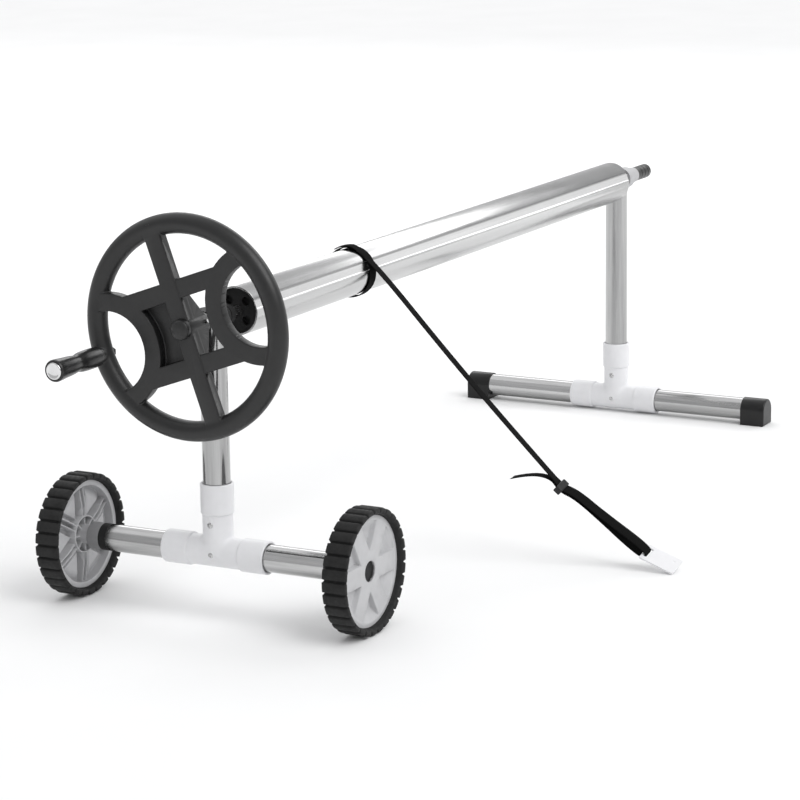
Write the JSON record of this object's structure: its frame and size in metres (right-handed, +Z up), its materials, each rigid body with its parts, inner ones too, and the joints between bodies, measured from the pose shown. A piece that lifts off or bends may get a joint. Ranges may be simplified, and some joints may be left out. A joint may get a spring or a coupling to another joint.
{
  "type": "pool cover reel",
  "caption": "Reel for winding up a pool cover: a long tube on T-shaped stands with wheels and capped feet, turned by a handwheel with a grip, and a webbing strap with an end plate.",
  "frame": {"origin": "on the ground, under the middle of the object without its strap", "axes": "+X along the winding tube away from the handwheel, +Z up, +Y towards the left wheel as seen from the handwheel looking at the tube"},
  "size_m": [1.8448, 0.8602, 0.6245],
  "materials": {
    "bright_aluminium": "bright drawn",
    "polished_steel": "polished",
    "white_moulding": "smooth",
    "bright_fastener": "polished",
    "tyre_rubber": "matte",
    "grey_moulding": "satin",
    "black_moulding": "satin",
    "black_webbing": "woven"
  },
  "bodies": {
    "stand": {"axle_cap_left": "black_moulding", "axle_cap_right": "black_moulding", "axle_plug_left": "black_moulding", "axle_plug_right": "black_moulding", "far_bearing_bush": "white_moulding", "far_cross_tube": "polished_steel", "far_foot_left": "black_moulding", "far_foot_right": "black_moulding", "far_post": "polished_steel", "far_post_cap": "black_moulding", "far_tee": "white_moulding", "far_tee_screw_lower": "bright_fastener", "far_tee_screw_upper": "bright_fastener", "near_bearing_bush": "black_moulding", "near_cross_tube": "polished_steel", "near_post": "polished_steel", "near_post_cap": "black_moulding", "near_tee": "white_moulding", "near_tee_screw_lower": "bright_fastener", "near_tee_screw_upper": "bright_fastener", "strap_buckle": "black_moulding", "strap_loop": "black_webbing", "strap_plate": "white_moulding", "strap_run": "black_webbing", "strap_tail": "black_webbing", "strap_wrap": "black_webbing", "wheel_spacer_left": "grey_moulding", "wheel_spacer_right": "grey_moulding"},
    "roller": {"drive_pin": "bright_fastener", "far_end_plug": "black_moulding", "far_lock_ring": "grey_moulding", "far_shaft": "bright_fastener", "handle_bolt": "bright_fastener", "handle_nut": "bright_fastener", "handwheel": "black_moulding", "hub_cap": "black_moulding", "near_end_plug": "black_moulding", "near_lock_ring": "grey_moulding", "near_shaft": "bright_fastener", "roller_tube": "bright_aluminium", "shaft_end_cap": "black_moulding"},
    "grip": {"handle_grip": "black_moulding"},
    "left_wheel": {"wheel_hub_left": "grey_moulding", "tyre_left": "tyre_rubber"},
    "right_wheel": {"wheel_hub_right": "grey_moulding", "tyre_right": "tyre_rubber"}
  },
  "joints": [
    {"name": "roller_spin", "type": "hinge", "parent": "stand", "child": "roller", "pos_m": [0, 0, 0.454], "axis": [1, 0, 0], "continuous": true},
    {"name": "grip_spin", "type": "hinge", "parent": "roller", "child": "grip", "pos_m": [-0.86, 0.14611, 0.40226], "axis": [1, 0, 0], "continuous": true},
    {"name": "left_wheel_spin", "type": "hinge", "parent": "stand", "child": "left_wheel", "pos_m": [-0.7175, 0.25, 0.096], "axis": [0, 1, 0], "continuous": true},
    {"name": "right_wheel_spin", "type": "hinge", "parent": "stand", "child": "right_wheel", "pos_m": [-0.7175, -0.25, 0.096], "axis": [0, 1, 0], "continuous": true}
  ]
}
